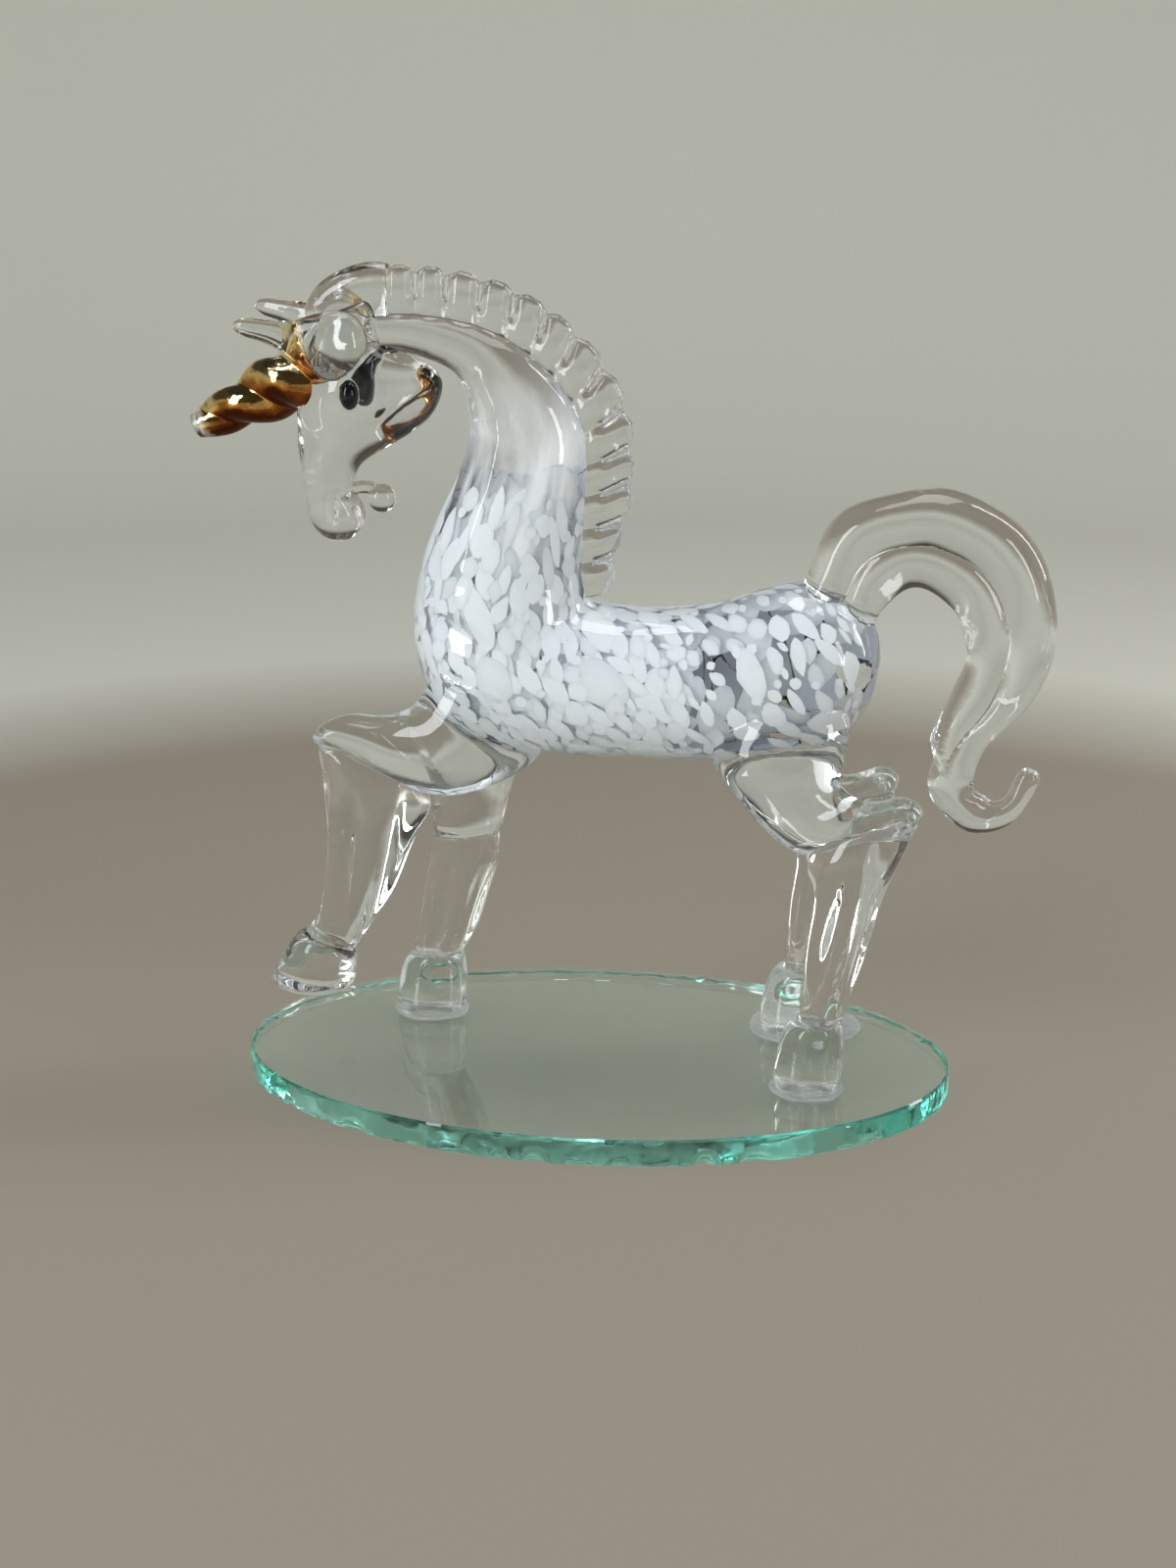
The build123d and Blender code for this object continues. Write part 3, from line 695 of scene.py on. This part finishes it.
class FlakeBed:
    """Collects flakes that follow a skin at a depth below it."""

    def __init__(self):
        self.points = []
        self.normals = []
        self.faces = []
        self.tones = []
        self.placed = []
        self.template = flake_template()

    def free(self, centre, radius, spacing):
        """Whether a flake of this radius keeps clear of those laid before in its layer."""
        return all((centre - other).length > spacing * (radius + size) for other, size in self.placed)

    def lay(self, tree, centre, normal, flow, length, width, depth, tone):
        """Lays one flake along the flow."""
        along = (flow - normal * flow.dot(normal)).normalized()
        across = normal.cross(along)
        wobble = chance.uniform(0.0, FLAKE_WAVE_RANGE)
        taper = chance.uniform(0.0, FLAKE_MOST_TAPER)
        points, faces = self.template
        start = len(self.points)
        for point in points:
            turn = math.atan2(point.y, point.x)
            around = Vector((wobble, FLAKE_WAVE_SCALE * math.cos(turn), FLAKE_WAVE_SCALE * math.sin(turn)))
            edge = 1.0 + FLAKE_WAVE_DEPTH * noise.noise(around)
            half_width = width * edge * (1.0 - taper * point.x**2) / 2
            flat = centre + along * (point.x * length * edge / 2) + across * (point.y * half_width)
            near, outward, _, _ = tree.find_nearest(flat)
            rise = math.copysign(math.sqrt(abs(point.z)), point.z) * FLAKE_THICKNESS * MM / 2
            self.points.append(near - outward * (depth - rise))
            self.normals.append(outward if point.z > UNDERSIDE_LEVEL else -outward)
            self.tones.append(tone - EDGE_TONE_DROP * (point.x**2 + point.y**2) ** 2)
        self.faces.extend([start + index for index in face] for face in faces)
        self.placed.append((centre, (length + width) / 4))


def in_region(region, place):
    """Whether a place in millimetres lies in a region of the flakes."""
    if region == "barrel":
        return place.x < RUMP_FROM_X and (place.z < BARREL_TOP_Z or place.x > WITHERS_X)
    if region == "rump":
        return RUMP_FROM_X <= place.x < RUMP_TO_X
    if region == "neck":
        return NECK_FLAKES_FROM_Z < place.z < NECK_FLAKES_TO_Z and place.x < WITHERS_X
    return place.z < BELLY_TOP_Z and BELLY_FROM_X < place.x < BELLY_TO_X


def place_on(corners):
    """A random place on a triangle."""
    weights = [-math.log(1.0 - chance.random()) for _ in corners]
    return sum((corner * weight for corner, weight in zip(corners, weights)), Vector()) / sum(weights)


def scatter(bed, skin, depths, tones, region, sizes, tries, spacing, spread):
    """Strews flakes over a region of the skin where there is room."""
    tree, faces, areas = skin
    for pick in chance.choices(range(len(faces)), weights=areas, k=tries):
        corners, normal = faces[pick]
        place = place_on(corners)
        length = chance.uniform(*sizes[0]) * MM
        width = min(length, chance.uniform(*sizes[1]) * MM)
        if in_region(region, place / MM) and bed.free(place, (length + width) / 4, spacing):
            turn = Matrix.Rotation(chance.uniform(-spread, spread), 3, normal)
            flow = turn @ flow_at(place)
            depth = chance.uniform(*depths) * MM
            bed.lay(tree, place, normal, flow, length, width, depth, chance.uniform(*tones))


def make_flakes(material):
    """All the white flakes as one piece."""
    bed = FlakeBed()
    skin = bare_skin()
    for depths, tones, rounds in FLAKE_LAYERS:
        bed.placed = []
        for one_round in rounds:
            scatter(bed, skin, depths, tones, *one_round)
    mesh = bpy.data.meshes.new("white_flakes")
    mesh.from_pydata(bed.points, [], bed.faces)
    store_on_points(mesh, "tone", bed.tones)
    add_piece("white_flakes", mesh, material)
    mesh.normals_split_custom_set_from_vertices(bed.normals)


# Milky veil in the neck


def ramp(value, start, end):
    """From 0 at the start to 1 at the end, and level beyond."""
    return max(0.0, min(1.0, (value - start) / (end - start)))


def neck_middle(z):
    """X of the neck's middle line at a height."""
    for (ax, az), (bx, bz) in zip(NECK_LINE, NECK_LINE[1:]):
        if z <= bz:
            return ax + (bx - ax) * (z - az) / (bz - az)
    return NECK_LINE[-1][0]


def veil_cover(place):
    """How milky the neck is at a place, in soft streaks that fade out towards the poll."""
    x, y, z = place / MM
    away, share = nearest_on_line(NECK_LINE, x, z)
    side = math.copysign(away, x - neck_middle(z))
    rise = ramp(z, VEIL_FADE_FOOT_Z, VEIL_FULL_Z) * ramp(z, VEIL_GONE_Z, VEIL_THIN_Z)
    spot = Vector((side, y, share))
    streak = VEIL_STREAK_COVER * noise.noise(spot * Vector(VEIL_STREAKS))
    thread = VEIL_THREAD_COVER * noise.noise(spot * Vector(VEIL_THREADS))
    crest = VEIL_CREST_COVER * math.exp(-(((side - VEIL_CREST) / VEIL_CREST_WIDTH) ** 2))
    return max(0.0, min(VEIL_MOST, rise * (VEIL_EVEN + streak + thread + crest)))


def make_veil(material):
    """The milky veil just under the skin of the neck."""
    sheet = bmesh.new()
    sheet.from_mesh(melted_mesh("veil", ["body", "neck"], SKIN_VOXEL, SKIN_SMOOTHING, -VEIL_DEPTH))
    outside = []
    for point in sheet.verts:
        if not VEIL_FOOT_Z < point.co.z / MM < VEIL_TOP_Z or point.co.x / MM > WITHERS_X:
            outside.append(point)
    bmesh.ops.delete(sheet, geom=outside, context="VERTS")
    mesh = finished_mesh(sheet, "milk_veil")
    store_on_points(mesh, "cover", [veil_cover(vertex.co) for vertex in mesh.vertices])
    add_piece("milk_veil", mesh, material)


# Plate and glue


def nick_depth(angle):
    """How far the nicks eat into the lower edge at an angle."""
    depth = 0.0
    for place, reach, most in RIM_NICKS:
        away = (math.degrees(angle) - place + 180.0) % 360.0 - 180.0
        depth = max(depth, most * max(0.0, 1.0 - (away / reach) ** 2))
    return depth


def make_plate(material):
    """The oval plate with a nipped and seamed rim."""
    low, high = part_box("base_plate")
    middle = (low + high) / 2
    half = (high - low) / 2
    plate = bmesh.new()
    rings = []
    for index, (inset, height_share, rough) in enumerate(RIM_RINGS):
        ring = []
        for step in range(RIM_STEPS):
            angle = 2.0 * math.pi * step / RIM_STEPS
            place = Vector((math.cos(angle), math.sin(angle), height_share))
            shake = rough * noise.noise(place * Vector(RIM_WAVES))
            out = (2.0 * shake - inset - nick_depth(angle) * NICK_SHARES[index]) * MM
            lift = abs(shake) * MM if index in CHIPPED_RINGS else 0.0
            x = middle.x + (half.x + out) * math.cos(angle)
            y = middle.y + (half.y + out) * math.sin(angle)
            ring.append(plate.verts.new((x, y, low.z + 2.0 * half.z * height_share + lift)))
        rings.append(ring)
    bridge_rings(plate, rings)
    plate.faces.new(list(reversed(rings[0])))
    plate.faces.new(rings[-1])
    mesh = finished_mesh(plate, "plate")
    add_piece("plate_glass", mesh, material, ["base_plate"])
    mesh.set_sharp_from_angle(angle=math.radians(RIM_SHARP_DEGREES))


def add_dab(dabs, leg, number):
    """A spread dab of glue under one hoof."""
    low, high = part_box(leg + "_hoof")
    plate_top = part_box("base_plate")[1].z
    shift_x, shift_y, overhang = GLUE_RUNS.get(leg, GLUE_OVERHANG)
    centre = (low + high) / 2 + Vector((shift_x, shift_y, 0.0)) * MM
    reach = (high - low) / 2 + Vector((overhang, overhang, 0.0)) * MM
    rings = []
    for share, height in GLUE_ROWS:
        ring = []
        for step in range(GLUE_STEPS):
            angle = 2.0 * math.pi * step / GLUE_STEPS
            around = Vector((math.cos(angle), math.sin(angle), 0.0)) * GLUE_WAVE_SCALE
            around.z = GLUE_WAVE_STEP * number
            edge = share * (1.0 + GLUE_WAVE_DEPTH * noise.noise(around))
            x = centre.x + reach.x * edge * math.cos(angle)
            y = centre.y + reach.y * edge * math.sin(angle)
            ring.append(dabs.verts.new((x, y, plate_top + (GLUE_LIFT + height) * MM)))
        rings.append(ring)
    bridge_rings(dabs, rings)
    dabs.faces.new(list(reversed(rings[0])))
    dabs.faces.new(rings[-1])


def make_glue(material):
    """The glue under the standing hooves."""
    dabs = bmesh.new()
    for number, leg in enumerate(STANDING_LEGS):
        add_dab(dabs, leg, number)
    add_piece("glue_dabs_clear", finished_mesh(dabs, "glue"), material, ["glue_dabs"])


# Stage, lamps and camera


def make_stage_material():
    """A pale floor and a pale wall that darkens high up, sooner behind the camera."""
    material, tree, shader, _ = new_material("pale_sweep", {"Roughness": 0.85})
    x, y, z = place_parts(tree)
    squares = maths(tree, "ADD", maths(tree, "MULTIPLY", x, x), maths(tree, "MULTIPLY", y, y))
    radius = maths(tree, "SQRT", squares)
    pale = ramp_node(tree, radius, ((FLOOR_EDGE * MM, FLOOR_COLOUR), (WALL_EDGE * MM, WALL_COLOUR)))
    level = maths(tree, "MULTIPLY_ADD", y, DARK_LEAN, z)
    dark = ramp_node(tree, level, ((PALE_TOP * MM, grey(0.0)), (DARK_FROM * MM, grey(1.0))))
    tree.links.new(mix_colours(tree, dark, pale, UPPER_COLOUR), shader.inputs["Base Color"])
    return material


def stage_profile():
    """Radius and height of each ring of the stage, from the floor's middle to the top of the wall."""
    profile = [(FLOOR_START, 0.0), (FLOOR_RADIUS, 0.0)]
    for step in range(1, BEND_STEPS + 1):
        angle = math.pi / 2 * step / BEND_STEPS
        profile.append((FLOOR_RADIUS + WALL_BEND * math.sin(angle), WALL_BEND * (1.0 - math.cos(angle))))
    profile.append((FLOOR_RADIUS + WALL_BEND, WALL_HEIGHT))
    return profile


def make_stage():
    """A round floor that sweeps up into a wall on every side."""
    bowl = bmesh.new()
    rings = []
    for radius, height in stage_profile():
        ring = []
        for step in range(STAGE_STEPS):
            angle = -2.0 * math.pi * step / STAGE_STEPS
            place = Vector((radius * math.cos(angle), radius * math.sin(angle), height - FLOOR_DROP))
            ring.append(bowl.verts.new(place * MM))
        rings.append(ring)
    bridge_rings(bowl, rings)
    bowl.faces.new(list(reversed(rings[0])))
    mesh = finished_mesh(bowl, "pale_sweep")
    mesh.materials.append(make_stage_material())
    mesh.shade_smooth()
    sweep = bpy.data.objects.new("pale_sweep", mesh)
    bpy.context.scene.collection.objects.link(sweep)


def add_lamp(name, place, size, power, colour, spread, mirrored):
    """A soft rectangular lamp aimed at the animal."""
    lamp = bpy.data.lights.new(name, "AREA")
    lamp.shape = "RECTANGLE"
    lamp.size = size[0] * MM
    lamp.size_y = size[1] * MM
    lamp.energy = power
    lamp.color = colour
    lamp.spread = math.radians(spread)
    holder = bpy.data.objects.new(name, lamp)
    holder.location = Vector(place) * MM
    holder.rotation_euler = (Vector(LAMP_TARGET) - Vector(place)).to_track_quat("-Z", "Y").to_euler()
    holder.visible_camera = False
    holder.visible_glossy = mirrored
    holder.visible_transmission = mirrored
    bpy.context.scene.collection.objects.link(holder)


def make_room():
    """The faint light of a dark room round the stage."""
    world = bpy.data.worlds.new("room")
    world.use_nodes = True
    world.node_tree.nodes["Background"].inputs["Color"].default_value = opaque(grey(ROOM_LIGHT))
    bpy.context.scene.world = world


def make_camera():
    """The camera, a little above the animal and to the right of square on."""
    camera = bpy.data.cameras.new("camera")
    camera.lens = CAMERA_LENS
    camera.sensor_width = CAMERA_SENSOR
    holder = bpy.data.objects.new("camera", camera)
    holder.location = Vector(CAMERA_PLACE) * MM
    holder.rotation_euler = (math.radians(CAMERA_TILT_DEGREES), 0.0, math.radians(CAMERA_TURN_DEGREES))
    bpy.context.scene.collection.objects.link(holder)
    bpy.context.scene.camera = holder


def let_light_wander():
    """Enough bounces for light to find its way out of the thick glass."""
    paths = bpy.context.scene.cycles
    paths.max_bounces = MOST_BOUNCES
    paths.glossy_bounces = MIRROR_BOUNCES
    paths.transmission_bounces = GLASS_BOUNCES
    paths.transparent_max_bounces = CLEAR_BOUNCES


clear_glass = make_clear_glass()
make_torso(clear_glass)
make_head(clear_glass)
make_mane(clear_glass)
make_lower_legs(clear_glass)
make_plain_pieces(clear_glass)
make_eyes(make_black_glass())
make_horn(make_gold_lustre())
make_flakes(make_flake_glass())
make_veil(make_milk_glass())
make_plate(make_plate_glass())
make_glue(make_glue_glass())
make_stage()
for lamp_name, lamp_values in LAMPS.items():
    add_lamp(lamp_name, *lamp_values)
make_room()
make_camera()
let_light_wander()
bpy.context.scene.view_settings.view_transform = "Standard"
